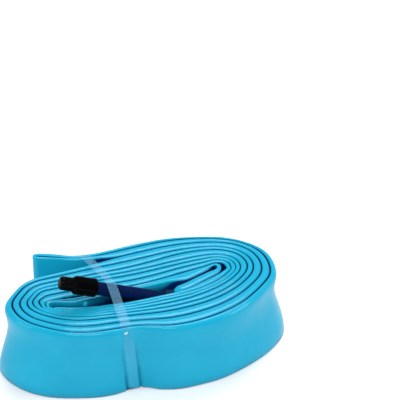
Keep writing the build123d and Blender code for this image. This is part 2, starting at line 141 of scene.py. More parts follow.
# the innermost gap line, then the width of each strand from there outwards
GAUGES = {
    "back": (0.6, [4.3, 4.1, 2.9, 3.5, 4.8, 4.9, 4.7, 2.8]),
    "right_back": (3.6, [3.4, 2.9, 2.9, 4.6, 3.0, 4.4, 3.9, 2.3]),
    "right_back_turn": (3.4, [2.3, 2.1, 2.3, 3.9, 2.3, 3.9, 2.5, 2.5]),
    "right": (41.0, [2.5, 2.1, 2.3, 3.4, 2.6, 3.6, 3.4, 3.4]),
    "right_front_turn": (3.5, [2.2, 2.2, 1.8, 3.0, 2.8, 4.0, 4.2, 3.4]),
    "front_right": (6.2, [4.1, 2.2, 1.8, 3.8, 2.9, 5.1, 5.6, 4.4]),
    "front": (11.5, [1.8, 1.9, 2.6, 3.0, 2.9, 5.3, 5.9, 3.6]),
    "strap_front": (10.3, [1.8, 1.9, 1.9, 2.0, 2.3, 4.2, 4.2, 3.4]),
    "left_front": (8.2, [1.4, 1.4, 1.4, 1.5, 2.6, 4.9, 4.8, 3.4]),
    "left_front_turn": (5.8, [1.3, 1.3, 1.3, 1.4, 2.1, 4.1, 3.8, 3.5]),
    "left": (44.3, [2.2, 2.9, 2.4, 3.3, 3.4, 4.0]),
    "left_back_turn": (4.6, [1.4, 3.9, 1.9, 3.4, 3.1, 3.2]),
    "left_back": (2.2, [4.2, 4.2, 2.1, 3.3, 3.2, 3.9]),
    "strap_back": (1.2, [4.5, 4.1, 2.6, 3.0, 4.6, 3.4]),
}
HEADINGS = {
    "back": [2, 1, 0, 0, 2, 1, 3, 3, 5],
    "right_back": [4, 2, 0, -1, -3, -7, -9, -12, -17],
    "right_back_turn": [-46] * 9,
    "right": [-90] * 9,
    "right_front_turn": [-148, -137] + [-136] * 7,
    "front_right": [-159, -159] + [-162] * 7,
    "front": [-180] * 9,
    "strap_front": [-189] * 6 + [-188, -184, -180],
    "left_front": [-201] * 5 + [-200, -197, -196, -196],
    "left_front_turn": [-228] * 9,
    "left": [-270] * 7,
    "left_back_turn": [-315, -335] + [-315] * 5,
    "left_back": [0, 0, -1, 0, 0, 2, 1],
    "strap_back": [-2, -2, -2, -1, -1, 1, 3],
}
# how far the outermost face splays at the foot of the roll, at the same gauges
FLARES = {
    "right_back_turn": 2.0, "right": 3.8, "right_front_turn": 3.6, "front_right": 0.9,
    "front": 0.7, "strap_front": 0.9, "left_front": 1.7, "left_front_turn": 4.2, "left": 4.0,
    "left_back_turn": 2.0,
}
print("gauge stations", len(GAUGES))

# %% Where each gauge is read
# across the long sides: 1 for the back and -1 for the front, and where it stands along the roll
STRAIGHT = {
    "back": (1, 0.0), "right_back": (1, 30.0), "left_back": (1, -40.0),
    "strap_back": (1, STRAP_X), "front_right": (-1, 30.0), "front": (-1, 10.0),
    "strap_front": (-1, STRAP_X), "left_front": (-1, -34.0),
}
# across the turns: the centre of the turn and the angle it is read at
ROUND = {
    "right_back_turn": (TURN_RIGHT, 45), "right_front_turn": (TURN_RIGHT, -45),
    "left_front_turn": (TURN_LEFT, -135), "left_back_turn": (TURN_LEFT, 135),
}
# at the two ends of the roll, where the innermost line on the left lies nearer the front
RIGHT_Y, LEFT_Y, LEFT_INNERMOST = 1.5, 2.0, 2.4


def station(gauge, strand, side, lean):
    """where one face of a strand passes a gauge: x, y and the way it heads, in degrees"""
    first, widths = GAUGES[gauge]
    line = strand + side
    outness = (line / len(widths)) ** 3
    middle = first + sum(widths[:line])
    edge = middle - GAP / 2 * (1 if side else -1) + lean * outness * FLARES.get(gauge, 0)
    heading = HEADINGS[gauge][line]
    if gauge in STRAIGHT:
        sign, x = STRAIGHT[gauge]
        return (x, sign * edge, heading)
    if gauge in ROUND:
        centre, angle = ROUND[gauge]
        arm = (edge * cos(radians(angle)), edge * sin(radians(angle)))
        return (centre[0] + arm[0], centre[1] + arm[1], heading)
    if gauge == "right":
        return (edge, RIGHT_Y, heading)
    return (-edge, LEFT_Y - (LEFT_INNERMOST if line == 0 else 0), heading)


print("outer wall at the right end", station("right", 7, 1, 0.0))

# %% [markdown]
# ## The order of the strands
# The loop leaves the folded tail, winds inwards as the outer layer of the doubled band, turns back
# in the loose middle, and winds outwards again as the inner layer. Each row below pairs a station
# on the tube's outside with one on its inside, so both faces of the band can be walked together. A
# face with no station of its own there has None. After the pair come the height of the upper fold,
# whether the wall is the bare outermost one, and how deep a trough runs along the fold. All rows
# could be typed, but the regular turns come from the gauges in a loop, so that a change to a gauge
# moves every strand there, and only the tail and the middle are listed one by one.

# %% Tail and middle of the roll
TAIL = [27.7, 29.9, 32.2]
FOLD_X, FOLD_Y = -39.0, 39.0
half, top = GAP / 2, FLAT_WIDTH

TAIL_START = [
    ((FOLD_X, FOLD_Y, 66), (FOLD_X + 1.4, FOLD_Y - 0.2, 66), top),
    ((FOLD_X + 4.4, FOLD_Y + 1.1, -22), (FOLD_X + 2.6, FOLD_Y - 0.3, -26), top),
    ((STRAP_X, TAIL[2] - half, -8), (STRAP_X, TAIL[1] + half, -8), top),
]
MIDDLE = [
    ((-44.3 + half, -0.4, 90), (-42.9 - half, -1.0, 90), top),
    ((-39.5, 2.0 - half, 0), (-40.2, half, -14), top, 0, 0.5),
    ((-31.0, 0.9 - half, -4), (-31.0, -3.0 + half, -4), top, 0, 1.0),
    ((STRAP_X, 0.6 - half, -2), (STRAP_X, -2.8 + half, 2), top, 0, 0.6),
    ((0.0, 0.6 - half, 2), None, top),
    (None, (10, -2.3 + half, 4), top),
    (None, (24, -2.9 + half, 22), top),
    ((30.0, 3.6 - half, 4), (32, 0.2 + half, 25), top),
    (None, (35.6, 2.7, 28), top),
    ((39.4 - half, 1.6, -98), (37.5, 1.9, -98), top),
    ((36.5, -3.3 + half, -150), (35.0, -0.3, -166), top),
    ((30.0, -6.2 + half, -159), (32, -0.7 - half, -158), top),
    (None, (24, -3.4 - half, -159), top),
    ((17.6, -10.37, -167.3), (16, -5.9 - half, -168), 32.8),
    ((6, -11.4 + half, -182), (7, -8.4 - half, -176), 25.0),
    ((STRAP_X, -10.1 + half, -189), (STRAP_X, -7.7 - half, -188), 31.2),
    ((-34.0, -7.7 + half, -198), (-34.0, -6.0 - half, -196), 32.6),
    ((-38.3, -6.1 + half, -204), (-38.5, -4.4 - half, -206), 32.8),
    (None, (-41.3, -3.1 - half, -175), top),
    ((-38.9 + half, -6.1, -116), (-42.1 + half, -4.3, -80), top),
    ((-38.5, -6.45 - half, -26), (-41.0, -5.6 + half, -37), top),
]
TAIL_END = [
    ((STRAP_X, TAIL[0] + half, 172), (STRAP_X, TAIL[1] - half, 172), top),
    ((FOLD_X + 3.6, FOLD_Y - 3.8 + half, 158), (FOLD_X + 2.8, FOLD_Y - 1.3, 152), top),
]
print("rows by hand", len(TAIL_START + MIDDLE + TAIL_END))

# %% Rows of the whole loop
FIRST_HALF = ("back", "right_back", "right_back_turn", "right", "right_front_turn",
              "front_right", "front", "strap_front", "left_front")
SECOND_HALF = ("left", "left_back_turn", "left_back", "strap_back")
# strand 2 becomes the innermost one at the left, where one face of it skips a gauge
OUTERMOST, INNERMOST_LEFT = 7, 2
TAIL_LEAVES = 0.4  # share of bare wall at the back, where the tail leaves the roll
ROW_LENGTH = 5


def layer(outer, lean):
    """rows of one layer of the doubled band, from its outermost turn to its innermost"""
    def row(gauge, strand, bare):
        faces = station(gauge, strand, outer, lean), station(gauge, strand, 1 - outer, lean)
        return (*faces, FLAT_WIDTH, bare)

    found = []
    for turn in (3, 2, 1, 0):
        strand = 2 * turn + outer
        wall = 1 if strand == OUTERMOST else 0
        for gauge in FIRST_HALF:
            found.append(row(gauge, strand, wall * (TAIL_LEAVES if gauge == "back" else 1)))
        if strand:
            found.append(row("left_front_turn", strand, wall))
        for gauge in SECOND_HALF if turn else ():
            step = row(gauge, strand - 2, wall * (0 if gauge == "strap_back" else 1))
            if gauge == "left_back_turn" and strand == INNERMOST_LEFT:
                step = (None, *step[1:])
            found.append(step)
    return found


def passed_back(stop):
    """the same station, passed the other way"""
    return stop and (stop[0], stop[1], stop[2] + 180)


def loop_rows(lean):
    """every row round the loop, the first one again at the end"""
    inwards, outwards = layer(1, lean), reversed(layer(0, lean))
    rows = TAIL_START + inwards + MIDDLE
    rows += [(passed_back(o), passed_back(i), *rest) for o, i, *rest in outwards]
    rows += TAIL_END
    rows = [row + (0,) * (ROW_LENGTH - len(row)) for row in rows]
    return rows + rows[:1]


print("rows round the loop", len(loop_rows(0.0)) - 1)

# %% [markdown]
# ## From station to station
# Each face runs on from a station as a pair of tangent arcs. A spline through the stations would
# overshoot where the strands are close, while two arcs keep every bend as round as film makes it.
# The two faces are then cut into the same number of steps, so every step gives one point on each.

# %% Arcs between stations
TINY_TURN, TINY = 1e-5, 1e-9  # an arc that turns less than this is drawn as a straight line
ARC_STEPS = 24


def arc_points(p, q, heading, count):
    """points along the arc that leaves p at the heading and ends at q, without q itself"""
    cx, cy = q[0] - p[0], q[1] - p[1]
    ahead, aside = cos(heading) * cx + sin(heading) * cy, cos(heading) * cy - sin(heading) * cx
    turn = atan2(aside, ahead)
    if abs(turn) < TINY_TURN:
        return [(p[0] + cx * i / count, p[1] + cy * i / count) for i in range(count)]
    radius = hypot(cx, cy) / 2 / sin(turn)
    mx, my = p[0] - radius * sin(heading), p[1] + radius * cos(heading)
    angles = [heading + 2 * turn * i / count for i in range(count)]
    return [(mx + radius * sin(angle), my - radius * cos(angle)) for angle in angles]


def biarc_points(p, q):
    """points along the two tangent arcs that join station p to station q, without q itself"""
    leave, arrive = radians(p[2]), radians(q[2])
    t0, t1 = (cos(leave), sin(leave)), (cos(arrive), sin(arrive))
    vx, vy = q[0] - p[0], q[1] - p[1]
    b = vx * (t0[0] + t1[0]) + vy * (t0[1] + t1[1])
    c = 2 * (1 - t0[0] * t1[0] - t0[1] * t1[1])
    vv = vx * vx + vy * vy
    d = vv / (2 * b) if c < TINY else (sqrt(b * b + c * vv) - b) / c
    joint = (p[0] + q[0] + d * (t0[0] - t1[0])) / 2, (p[1] + q[1] + d * (t0[1] - t1[1])) / 2
    second_arc = arc_points(q, joint, arrive + pi, ARC_STEPS)
    return arc_points(p, joint, leave, ARC_STEPS) + [joint] + second_arc[:0:-1]


quarter_turn = biarc_points((1, 0, 90), (0, 1, 180))
print("points on a quarter turn", len(quarter_turn))


# %% Even steps along a line
def reaches(points):
    """how far along the line each of its points lies"""
    reach = [0.0]
    for a, b in zip(points, points[1:]):
        reach.append(reach[-1] + hypot(b[0] - a[0], b[1] - a[1]))
    return reach


def even(points, count):
    """the same line again, as points equally far apart, without its last point"""
    reach = reaches(points)
    out, j = [], 0
    for i in range(count):
        want = reach[-1] * i / count
        while reach[j + 1] < want:
            j += 1
        f = (want - reach[j]) / max(reach[j + 1] - reach[j], TINY)
        a, b = points[j], points[j + 1]
        out.append((a[0] + (b[0] - a[0]) * f, a[1] + (b[1] - a[1]) * f))
    return out


print("length of a quarter turn of radius 1", round(reaches(quarter_turn + [(0, 1)])[-1], 3))

# %% Both faces of the whole loop
STEP, CREASE_STEP, FEWEST_STEPS = 1.25, 0.42, 4
CREASE_MIDDLE, CREASE_SPAN = -12.5, 15.0
FRONT_WALL = -25


def strap_presses(a, b):
    """whether the stretch between two rows is the bare front wall that the strap creases"""
    bare = a[3] * b[3] == 1
    near = abs(a[0][0] + b[0][0] - 2 * CREASE_MIDDLE) < 2 * CREASE_SPAN
    return bare and near and b[0][1] < FRONT_WALL


def face_lines(lean, counts=None):
    """matching points of both faces round the loop, the steps in each stretch, and at each point
    the height of the fold, the bare share and the depth of the trough"""
    rows = loop_rows(lean)
    marks = [i for i, row in enumerate(rows) if row[0] and row[1]]
    outer, inner, used, traits = [], [], [], []
    for n, (i, j) in enumerate(zip(marks, marks[1:])):
        lines = []
        for side in (0, 1):
            stops = [row[side] for row in rows[i:j + 1] if row[side]]
            line = [point for p, q in zip(stops, stops[1:]) for point in biarc_points(p, q)]
            lines.append(line + [stops[-1][:2]])
        if counts is None:
            step = CREASE_STEP if strap_presses(rows[i], rows[j]) else STEP
            count = max(FEWEST_STEPS, ceil(max(reaches(line)[-1] for line in lines) / step))
        else:
            count = counts[n]
        used.append(count)
        outer += even(lines[0], count)
        inner += even(lines[1], count)
        for s in range(count):
            f = (1 - cos(pi * s / count)) / 2
            traits.append([a + (b - a) * f for a, b in zip(rows[i][2:], rows[j][2:])])
    return outer, inner, used, traits


outer_line, inner_line, step_counts, traits = face_lines(0.0)
outer_splay, inner_splay = face_lines(1.0, step_counts)[:2]
print("steps round the tube", len(outer_line))

# %% [markdown]
# ## The cross-section of the band
# The film is thin and springy, so the band's upper edge is a rounded fold, and its lower edge sits
# almost flat on the floor. The outermost wall has nothing outside it to lean on: it splays at its
# foot, draws in at its waist and rounds into a soft shoulder. A bevel could round the fold, but it
# would be the same everywhere, so the fold is drawn at each step from the width of the strand.


# %% Waist, flare and hollow
def clamp(value):
    """the value, held between 0 and 1"""
    return min(1.0, max(0.0, value))


def ease(share):
    """a share from 0 to 1 that starts and stops gently"""
    return share * share * (3 - 2 * share)


WAIST_HEIGHT, WAIST_LEAN = 23.0, -0.3
SHOULDER_FOOT, HOLLOW_HEIGHT, HOLLOW_DEPTH = 26.0, 17.5, 1.3


def splay(height):
    """share of the flare at a height: 1 on the floor, slightly negative at the waist, 0 on top"""
    if height > WAIST_HEIGHT:
        drop = (FLAT_WIDTH - height) / (FLAT_WIDTH - WAIST_HEIGHT)
        return WAIST_LEAN * (1 - cos(pi * drop)) / 2
    return WAIST_LEAN + (1 - WAIST_LEAN) * (1 - ease(height / WAIST_HEIGHT))


def hollow(z):
    """how far the long sides of the outer wall sink in under the shoulder"""
    if z > HOLLOW_HEIGHT:
        return HOLLOW_DEPTH * ease(clamp((SHOULDER_FOOT - z) / (SHOULDER_FOOT - HOLLOW_HEIGHT)))
    return HOLLOW_DEPTH * ease(clamp(z / HOLLOW_HEIGHT))


print("deepest hollow", hollow(HOLLOW_HEIGHT), "mm")

# %% Where the strap presses
STRAP_TILT, STRAP_HALF, STRAP_SEAT, PINCH_REACH = radians(4.8), 2.45, -31.5, 7.5
CREASE_TOP, CREASE_FADE = 25.0, 8.0
CREASE_AWAY, CREASE_DEPTH, CREASE_WIDTH = 0.7, 1.2, 0.55
FOOT_LIFT, FOOT_FADE = 0.75, 1.5


def from_strap(x, z):
    """how far a point on the front wall is from the middle line of the strap"""
    return abs(x - STRAP_X - (FLAT_WIDTH - z) * tan(STRAP_TILT))


def crease_at(x, z):
    """share of the crease that the strap folds into the front wall beside each of its edges"""
    low = clamp((CREASE_TOP - z) / CREASE_FADE)
    return low * exp(-((from_strap(x, z) - STRAP_HALF - CREASE_AWAY) / CREASE_WIDTH) ** 2)


def pinch(x, y, z):
    """the strap draws the front wall in, and the groove it runs in lifts the foot a little"""
    beyond = from_strap(x, z) - STRAP_HALF
    pull = 1 - ease(clamp(beyond / PINCH_REACH))
    if y < STRAP_SEAT:
        y += (STRAP_SEAT - y) * pull + CREASE_DEPTH * crease_at(x, z)
    return x, y, max(z, FOOT_LIFT * (1 - clamp(beyond / FOOT_FADE)))


print("front wall under the strap", pinch(STRAP_X, STRAP_SEAT - 1.0, FLAT_WIDTH))

# %% Outline of one cross-section
WALL_STEPS, CROWN_STEPS = 9, 12
CROWN_SHARE, CROWN_RISE, SHOULDER_RISE, FAR_RISE = 0.3, 0.8, 3.0, 1.3
SHOULDER_LEAN = 0.10
TROUGH_SPREAD, TROUGH_START = 1.3, 0.15
FOOT_ROUND = 0.5
UNDERSIDE = [(0.85, 0.12), (0.5, 0.0), (0.15, 0.12)]
PRESSED_SHARE = 0.17  # a strand that is pressed thin has a flatter fold


def crown(rise_out, rise_in, lean_in):
    """upper fold as (share across, drop below the top), from the outer face to the inner one"""
    points = []
    for s in range(CROWN_STEPS + 1):
        a = pi * s / CROWN_STEPS
        across = (1 - cos(a)) / 2 + lean_in * sin(a) ** 2
        points.append((across, (rise_out if s < CROWN_STEPS / 2 else rise_in) * (1 - sin(a))))
    return points


def outline(width, pressed, top, outermost, trough):
    """(share across, height) up the outer face, over the fold, down the inner face and under"""
    rise = min((CROWN_SHARE - PRESSED_SHARE * pressed) * width, CROWN_RISE)
    rise_out = rise + (SHOULDER_RISE - rise) * outermost
    rise_in = rise + (FAR_RISE - rise) * outermost
    foot = min(width / 2, FOOT_ROUND)
    points = []
    for s in range(WALL_STEPS):
        points.append((0.0, foot + (top - rise_out - foot) * s / WALL_STEPS))
    for across, drop in crown(rise_out, rise_in, SHOULDER_LEAN * outermost):
        dip = trough * sin(pi * clamp(across * TROUGH_SPREAD - TROUGH_START)) ** 2
        points.append((across, top - drop - dip))
    for s in range(WALL_STEPS - 1, -1, -1):
        points.append((1.0, foot + (top - rise_in - foot) * s / WALL_STEPS))
    return points + [(across, share * foot) for across, share in UNDERSIDE]


print("points round the band", len(outline(4.0, 0.0, FLAT_WIDTH, 0.0, 0.0)))

# %% The cross-section in its place
# thin strands are pressed together: each swells a little, so the gaps between them nearly close
PRESSED_WIDTH, PRESSED_RANGE, PRESSED_SWELL = 2.0, 0.8, 0.13
# the hollow is on the long sides only, where the foot splays little
HOLLOW_SPLAY, HOLLOW_FADE = 2.6, 1.5


def section(o, i, splayed_o, splayed_i, top, outermost, trough):
    """points round the band between a point on its outer face and one on its inner face"""
    width = hypot(o[0] - i[0], o[1] - i[1])
    pressed = clamp((PRESSED_WIDTH - width) / PRESSED_RANGE)
    swell = PRESSED_SWELL * pressed / width
    flare_o = splayed_o[0] - o[0], splayed_o[1] - o[1]
    flare_i = splayed_i[0] - i[0], splayed_i[1] - i[1]
    sunk = outermost * clamp((HOLLOW_SPLAY - hypot(*flare_o)) / HOLLOW_FADE)
    placed = []
    for across, z in outline(width, pressed, top, outermost, trough):
        across += swell * (2 * across - 1) + sunk * hollow(z) / width * (1 - across)
        k = splay(min(z, FLAT_WIDTH))
        ox, oy = o[0] + flare_o[0] * k, o[1] + flare_o[1] * k
        ix, iy = i[0] + flare_i[0] * k, i[1] + flare_i[1] * k
        placed.append(Vector(pinch(ox + (ix - ox) * across, oy + (iy - oy) * across, z)) * MM)
    return placed


faces_at = zip(outer_line, inner_line, outer_splay, inner_splay, traits)
rings = [section(*four, *trait) for *four, trait in faces_at]
along, around = len(rings), len(rings[0])
print("cross-sections", along, "of", around, "points")

# %% [markdown]
# ## The band itself
# The tube could be a curve with a bevel profile, but a bevel keeps one profile all the way round.
# So a grid with one row for each step and one column for each point of the cross-section is
# wrapped round the loop, then welded along its two seams into one closed skin.

# %% Grid wrapped round the loop
bm = bmesh.new()
bmesh.ops.create_grid(bm, x_segments=along, y_segments=around, size=1.0)
film_map, depth_map = bm.loops.layers.uv.new("film"), bm.loops.layers.uv.new("depth")
cells = {}
for vert in bm.verts:
    i, j = round((vert.co.x + 1) / 2 * along), round((vert.co.y + 1) / 2 * around)
    cells[i, j] = vert
    for corner in vert.link_loops:
        corner[film_map].uv = (i / along, j / around)
seams = {}
for (i, j), vert in cells.items():
    vert.co = rings[i % along][j % around]
    if i == along or j == around:
        seams[vert] = cells[i % along, j % around]
bmesh.ops.weld_verts(bm, targetmap=seams)
bmesh.ops.recalc_face_normals(bm, faces=bm.faces)
for face in bm.faces:
    face.smooth = True
print("tube faces", len(bm.faces), "volume mm3", round(bm.calc_volume() * 1e9))

# %% [markdown]
# ## How deep the light reaches
# Between tight strands the blue film turns almost navy, because light is lost in the gap. Soft
# lamps alone leave such narrow gaps too pale, so that navy is painted into the film as shade. A
# tint placed by eye would have to be redone after each change of shape, so the painted shade is
# measured on the tube itself: a ray from every wall finds the room in front of it, and a second
# map stores how deep each point lies for the light that such a gap lets in.

# %% Room in front of every wall
FAR = 30 * MM
RAY_START = 0.05
AVERAGED = 2  # the room is averaged over this many steps each way
CREST = WALL_STEPS + CROWN_STEPS // 2
SHOULDERS = (WALL_STEPS - 1, WALL_STEPS + CROWN_STEPS + 1)  # just below the fold, on each face

walls = BVHTree.FromBMesh(bm)
rooms = [[], []]
for i, ring in enumerate(rings):
    for side, j in enumerate(SHOULDERS):
        ahead, behind = rings[(i + 1) % along][j], rings[i - 1][j]
        outward = Vector((ahead.y - behind.y, behind.x - ahead.x, 0)).normalized()
        if outward.dot(ring[j] - ring[2 * CREST - j]) < 0:
            outward = -outward
        seen = walls.ray_cast(ring[j] + outward * RAY_START * MM, outward, FAR)[3]
        rooms[side].append(FAR if seen is None else seen)
window = range(-AVERAGED, AVERAGED + 1)
for side in (0, 1):
    rooms[side] = [sum(rooms[side][(i + k) % along] for k in window) / len(window)
                   for i in range(along)]
print("narrowest gap mm", round(min(rooms[0] + rooms[1]) / MM + RAY_START, 2))

# %% Depth map
OPEN_WALL = 0.9  # share of the far distance past which a wall stands open
# share of painted shade in the crease that the strap folds into the bare front wall
CREASE_SHADE = 0.28
NEAR_REACH, FAR_REACH, TIGHT_ROOM = 1.0, 6.0, 3.0  # light reaches deeper where there is more room
# the eye at the left end of the middle is open above, so light reaches further down in it
EYE_START, EYE_FADE, EYE_FRONT, EYE_BACK, EYE_ROOM, EYE_LIGHT = -12.0, 14.0, -10, 3, 1.0, 2.0
# where the tail leaves the roll, its outer face stays lit, and so does any wall with much room
TAIL_RIGHT, TAIL_FRONT = -14, 26.5
LIT_ROOM, LIT_FADE = 14.0, 5.0


def shade_of(i, j):
    """depth below the upper fold as a share of the depth light reaches, and how much is hidden"""
    side = 0 if j <= CREST else 1
    if j < CREST and rooms[0][i] > OPEN_WALL * FAR:
        spot = rings[i][j]
        crease = crease_at(spot.x / MM, spot.z / MM) if spot.y < FRONT_WALL * MM else 0.0
        return 1.0, CREASE_SHADE * crease
    at, room = rings[i][j] / MM, rooms[side][i] / MM
    eye = clamp((EYE_START - at.x) / EYE_FADE) if EYE_FRONT < at.y < EYE_BACK else 0.0
    reach = min(FAR_REACH, NEAR_REACH + max(0.0, room - TIGHT_ROOM))
    reach *= 1.0 + EYE_LIGHT * eye * clamp(room - EYE_ROOM)
    in_tail = side == 0 and at.y > TAIL_FRONT and at.x < TAIL_RIGHT
    hidden = 0.0 if in_tail else clamp((LIT_ROOM - room) / LIT_FADE)
    return (traits[i][0] - at.z) / reach, hidden


for (i, j), vert in cells.items():
    if vert.is_valid:
        shade = shade_of(i % along, j % around)
        for corner in vert.link_loops:
            corner[depth_map].uv = shade
print("depth in the middle of the roll", [round(v, 2) for v in shade_of(along // 2, 0)])

# %% Tube
tube = placed_object("rolled_tube", bm)
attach(tube, "roll")
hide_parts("tube")
print("tube vertices", len(tube.data.vertices))

# %% [markdown]
# ## The blue film
# The film is a glossy, slightly milky thermoplastic. Its colour hardly changes, but extrusion
# leaves faint streaks along the tube, handling leaves dull patches, and both show in the gloss.
# An image texture could be wrapped on, but patterns from nodes stay sharp at any distance. The
# streaks follow the band, so they read its own map, stretched far along it. The depth map then
# mixes a painted navy shade into the gaps.


# %% Blue film: shader and patterns
def link(tree, kind, **settings):
    """a new node, with its inputs and its settings given by name"""
    node = tree.nodes.new(kind)
    for key, value in settings.items():
        if key in node.inputs:
            node.inputs[key].default_value = value
        else:
            setattr(node, key, value)
    return node


def noise(tree, where, **settings):
    """the pattern of a noise texture at a place that another node puts out"""
    node = link(tree, "ShaderNodeTexNoise", **settings)
    tree.links.new(where, node.inputs["Vector"])
    return node.outputs[0]


def stretched(tree, map_name, scale):
    """a piece's own map, and the same map stretched"""
    own_map = link(tree, "ShaderNodeUVMap", uv_map=map_name).outputs[0]
    mapping = link(tree, "ShaderNodeMapping", Scale=scale)
    tree.links.new(own_map, mapping.inputs["Vector"])
    return own_map, mapping.outputs[0]


film, tree, shader = node_material("blue_film")
shader.inputs["Subsurface Weight"].default_value = 0.06
shader.inputs["Subsurface Radius"].default_value = (0.1, 0.8, 1.0)
shader.inputs["Subsurface Scale"].default_value = 0.001
shader.inputs["Specular IOR Level"].default_value = 0.04
shader.inputs["Coat Weight"].default_value = 0.3
shader.inputs["Coat Roughness"].default_value = 0.09
stretch = stretched(tree, "film", (60.0, 9.0, 1.0))[1]
streaks = noise(tree, stretch, Scale=3.0, Detail=4.0, Roughness=0.6)
own_place = link(tree, "ShaderNodeTexCoord").outputs["Object"]
clouds = noise(tree, own_place, Scale=70.0, Detail=3.0, Roughness=0.55)
grain = noise(tree, own_place, Scale=1500.0, Detail=2.0)
dents = noise(tree, own_place, Scale=110.0, Detail=1.0)
print("patterns of the film", ["streaks", "clouds", "grain", "dents"])

# %% Blue film: colour, and the painted shade of the gaps
FILM_DEEP, FILM_PALE = (0.0025, 0.30, 0.485), (0.007, 0.365, 0.56)
# the navy painted into the film as shade where the gaps are deep
PAINTED_GAP_SHADE = (0.0002, 0.020, 0.13)
SHADE_START, SHADE_END = 0.15, 0.85


def feed(tree, value, socket):
    """gives a socket a number, a colour or what another node puts out"""
    if hasattr(value, "node"):
        tree.links.new(value, socket)
    else:
        socket.default_value = (*value, 1) if isinstance(value, tuple) else value


def blend_colours(tree, source, low, high, into=None):
    """a colour between two, by a pattern"""
    node = link(tree, "ShaderNodeMix", data_type="RGBA")
    for value, socket in ((source, node.inputs[0]), (low, node.inputs[6]), (high, node.inputs[7])):
        feed(tree, value, socket)
    if into is not None:
        tree.links.new(node.outputs[2], into)
    return node.outputs[2]


def smooth_step(tree, source, start, end, low, high):
    """a smooth step from low to high, between two values of a source"""
    ends = {"From Min": start, "From Max": end, "To Min": low, "To Max": high}
    node = link(tree, "ShaderNodeMapRange", interpolation_type="SMOOTHSTEP", **ends)
    tree.links.new(source, node.inputs["Value"])
    return node.outputs["Result"]


def sums(tree, operation, a, b):
    """the result of one sum on two numbers, either of which may come from a node"""
    node = link(tree, "ShaderNodeMath", operation=operation)
    feed(tree, a, node.inputs[0])
    feed(tree, b, node.inputs[1])
    return node.outputs[0]


open_film = blend_colours(tree, clouds, FILM_DEEP, FILM_PALE)
depth = link(tree, "ShaderNodeSeparateXYZ")
tree.links.new(link(tree, "ShaderNodeUVMap", uv_map="depth").outputs[0], depth.inputs[0])
deep = smooth_step(tree, depth.outputs[0], SHADE_START, SHADE_END, 0.0, 1.0)
# the painted shade: how deep a point lies, times how hidden it is from the light
shaded = sums(tree, "MULTIPLY", deep, depth.outputs[1])
blend_colours(tree, shaded, open_film, PAINTED_GAP_SHADE, shader.inputs["Base Color"])
print("film colours", FILM_DEEP, FILM_PALE, PAINTED_GAP_SHADE)

# %% Blue film: gloss and relief
FILM_GLOSSY, FILM_DULL = 0.26, 0.44
GRAIN_HEIGHT, DENT_HEIGHT, STREAK_HEIGHT = 0.0002, 0.0006, 0.0003


def span(tree, source, low, high, into):
    """maps a 0 to 1 pattern to a range and feeds it to a socket"""
    node = link(tree, "ShaderNodeMapRange", **{"To Min": low, "To Max": high})
    tree.links.new(source, node.inputs["Value"])
    tree.links.new(node.outputs["Result"], into)


def bump(tree, source, strength, height, before=None):
    """the normal of a surface that a pattern raises, over an earlier bump if there is one"""
    node = link(tree, "ShaderNodeBump", Strength=strength, Distance=height)
    tree.links.new(source, node.inputs["Height"])
    if before is not None:
        tree.links.new(before, node.inputs["Normal"])
    return node.outputs[0]


span(tree, streaks, FILM_GLOSSY, FILM_DULL, shader.inputs["Roughness"])
fine = bump(tree, grain, strength=0.05, height=GRAIN_HEIGHT)
wavy = bump(tree, dents, strength=0.25, height=DENT_HEIGHT, before=fine)
surface = bump(tree, streaks, strength=0.12, height=STREAK_HEIGHT, before=wavy)
tree.links.new(surface, shader.inputs["Normal"])
tube.data.materials.append(film)
print("blue film nodes", len(tree.nodes))

# %% [markdown]
# ## Foot, stem, cap and valve core
# These small pieces are moulded or turned, and their solids already have the right shape, so they
# stay and only get a finish. One flat colour would look like paint. Moulded plastic drifts a little
# in colour and gloss and has a fine grain, and turned brass does too, so one recipe serves them all
# with its own numbers for each.

# %% Finish of the carried nodes
SMOOTHER, ROUGHER = 0.07, 0.09


def moulded(name, colour, paler, rough, grain_scale=900.0, grain_strength=0.05,
            metal=0.0, gloss=0.4, coat=0.0):
    """a moulded or machined finish: a drifting colour, uneven gloss and a fine grain"""
    material, tree, shader = node_material(name)
    shader.inputs["Metallic"].default_value = metal
    shader.inputs["Specular IOR Level"].default_value = gloss
    shader.inputs["Coat Weight"].default_value = coat
    shader.inputs["Coat Roughness"].default_value = 0.08
    own_place = link(tree, "ShaderNodeTexCoord").outputs["Object"]
    drift = noise(tree, own_place, Scale=220.0, Detail=3.0)
    grain = noise(tree, own_place, Scale=grain_scale, Detail=2.0)
    blend_colours(tree, drift, colour, paler, shader.inputs["Base Color"])
    span(tree, drift, rough - SMOOTHER, rough + ROUGHER, shader.inputs["Roughness"])
    tree.links.new(bump(tree, grain, grain_strength, GRAIN_HEIGHT), shader.inputs["Normal"])
    return material


